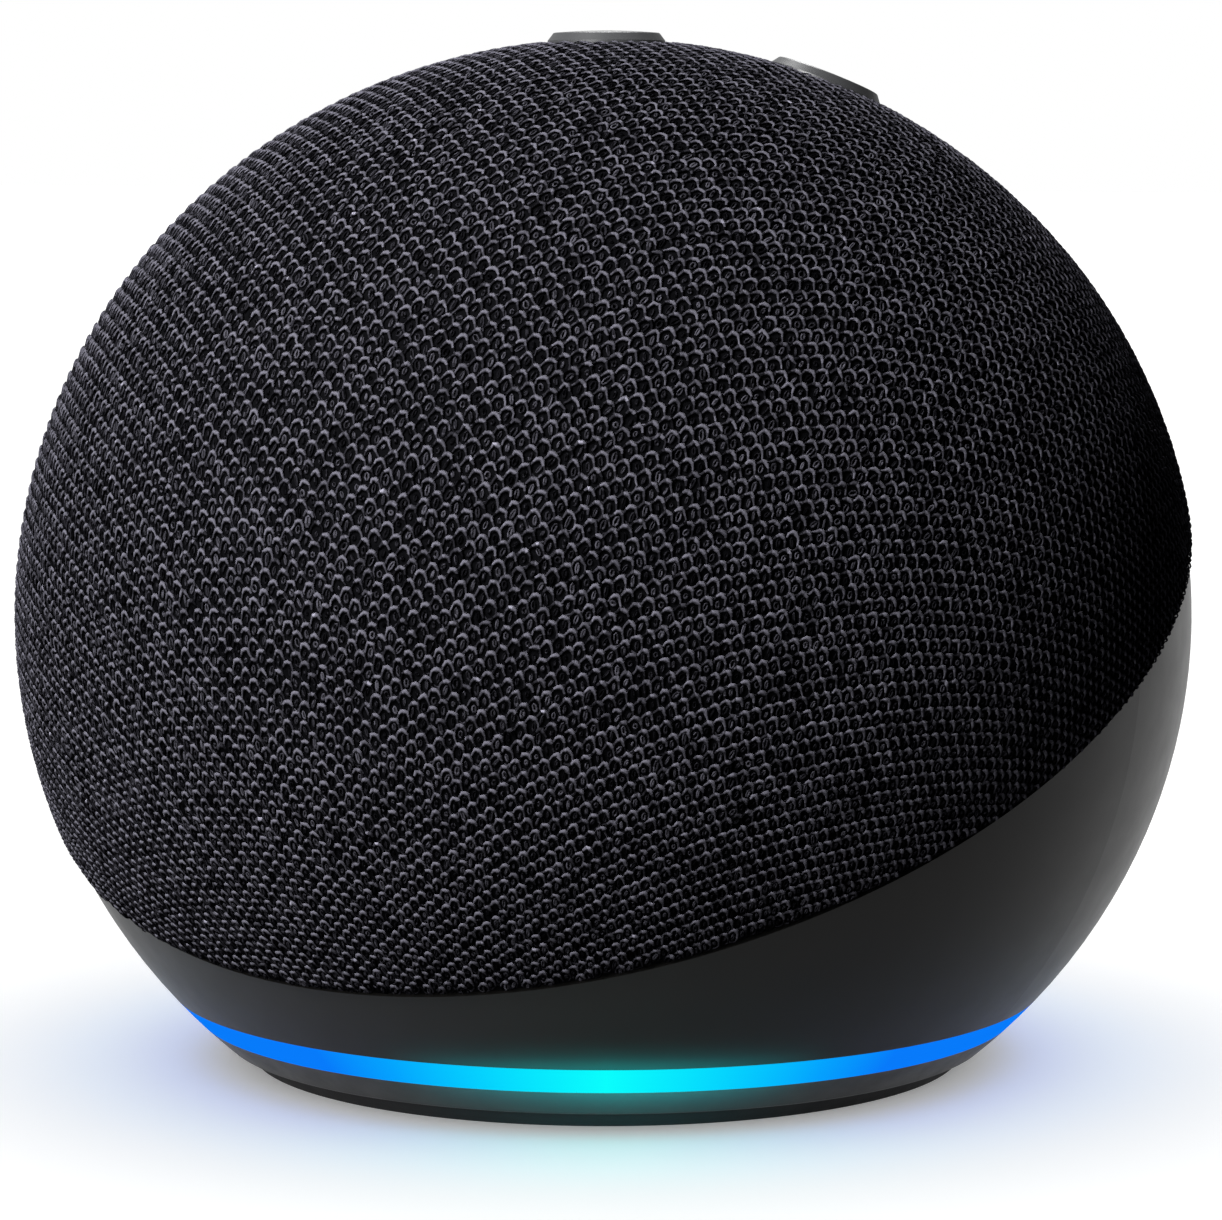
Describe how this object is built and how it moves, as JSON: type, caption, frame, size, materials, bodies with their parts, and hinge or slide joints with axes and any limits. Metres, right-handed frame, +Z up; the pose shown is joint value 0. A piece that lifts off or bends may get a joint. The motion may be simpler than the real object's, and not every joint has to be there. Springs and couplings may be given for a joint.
{
  "type": "smart speaker",
  "caption": "Ball-shaped smart speaker with a knit cover, a smooth plastic back, top buttons and a lit ring above its base.",
  "frame": {"origin": "centre of the rubber foot's underside, on the surface the speaker stands on", "axes": "+Z up, -Y is the front, where the knit cover reaches lowest, +X is on the right of someone looking at the front"},
  "size_m": [0.1, 0.0994, 0.0868],
  "materials": {
    "knit_fabric": "open knit mesh in charcoal yarn",
    "black_plastic": "fine moulded texture",
    "charcoal_plastic": "smooth satin",
    "ring_diffuser": "frosted diffuser, lit",
    "clear_plastic": "clear polished",
    "base_plastic": "satin",
    "foot_rubber": "matt moulded rubber",
    "white_board": "white solder mask",
    "led_resin": "cast resin",
    "flex_circuit": "amber polyimide film",
    "switch_steel": "stamped",
    "screw_steel": "zinc plated",
    "gold_can": "plated lid",
    "gasket_rubber": "soft moulded",
    "pressed_steel": "black coated",
    "zinc_steel": "zinc plated",
    "ferrite": "ground ceramic magnet",
    "copper_wire": "enamelled copper winding",
    "cone_paper": "pressed pulp",
    "spider_cloth": "resin-set cloth",
    "green_board": "green solder mask",
    "chip_black": "moulded epoxy",
    "thermal_silicone": "soft silicone",
    "sink_aluminium": "extruded, anodised",
    "tinned_steel": "tinned",
    "can_aluminium": "drawn can",
    "connector_plastic": "moulded nylon",
    "jack_plastic": "moulded, black",
    "antenna_film": "thin board",
    "cable_jacket": "smooth jacket",
    "wire_red": "smooth insulation",
    "button_plastic": "satin"
  },
  "bodies": {
    "speaker": {"fabric_cover": "knit_fabric", "grille_shell": "black_plastic", "lower_housing": "charcoal_plastic", "rear_panel": "charcoal_plastic", "deck": "black_plastic", "socket_bay": "black_plastic", "light_ring": "ring_diffuser", "light_guide": "clear_plastic", "base_plate": "base_plastic", "rubber_foot": "foot_rubber", "led_board": "white_board", "ring_leds": "led_resin", "button_flex": "flex_circuit", "dome_switches": "switch_steel", "button_carrier": "black_plastic", "carrier_screws": "screw_steel", "microphones": "gold_can", "microphone_gaskets": "gasket_rubber", "driver_basket": "pressed_steel", "driver_top_plate": "zinc_steel", "driver_magnet": "ferrite", "driver_yoke": "zinc_steel", "surround": "gasket_rubber", "spider": "spider_cloth", "driver_gasket": "gasket_rubber", "driver_screws": "screw_steel", "speaker_box_front": "black_plastic", "speaker_box_gasket": "gasket_rubber", "speaker_box_rear": "black_plastic", "box_screws": "screw_steel", "box_post_screws": "screw_steel", "main_board": "green_board", "processor": "chip_black", "thermal_pad": "thermal_silicone", "heat_sink": "sink_aluminium", "shield_can": "tinned_steel", "radio_chip": "chip_black", "board_inductors": "chip_black", "board_capacitors": "can_aluminium", "board_connectors": "connector_plastic", "board_screws": "screw_steel", "power_jack": "jack_plastic", "audio_jack": "jack_plastic", "antennas": "antenna_film", "antenna_cables": "cable_jacket", "ribbon_cable": "flex_circuit", "speaker_wires": "wire_red", "base_screws": "screw_steel"},
    "action_button": {"action_button": "button_plastic"},
    "volume_down_button": {"volume_down_button": "button_plastic"},
    "volume_up_button": {"volume_up_button": "button_plastic"},
    "microphone_off_button": {"microphone_off_button": "button_plastic"},
    "cone": {"voice_coil": "copper_wire", "speaker_cone": "cone_paper", "dust_cap": "cone_paper"}
  },
  "joints": [
    {"name": "action_button_press", "type": "slide", "parent": "speaker", "child": "action_button", "axis": [0, 0, -1], "range_m": [0, 0.00035], "stiffness_N_per_m": 400, "springref_m": -0.0008},
    {"name": "volume_down_button_press", "type": "slide", "parent": "speaker", "child": "volume_down_button", "axis": [0.2945, -0.2145, -0.9313], "range_m": [0, 0.00035], "stiffness_N_per_m": 400, "springref_m": -0.0008},
    {"name": "volume_up_button_press", "type": "slide", "parent": "speaker", "child": "volume_up_button", "axis": [-0.2945, -0.2145, -0.9313], "range_m": [0, 0.00035], "stiffness_N_per_m": 400, "springref_m": -0.0008},
    {"name": "microphone_off_button_press", "type": "slide", "parent": "speaker", "child": "microphone_off_button", "axis": [0, -0.4297, -0.903], "range_m": [0, 0.00035], "stiffness_N_per_m": 400, "springref_m": -0.0008},
    {"name": "cone_slide", "type": "slide", "parent": "speaker", "child": "cone", "axis": [0, -1, 0], "range_m": [-0.0015, 0.0015], "stiffness_N_per_m": 800, "deforming": ["surround", "spider"]}
  ]
}
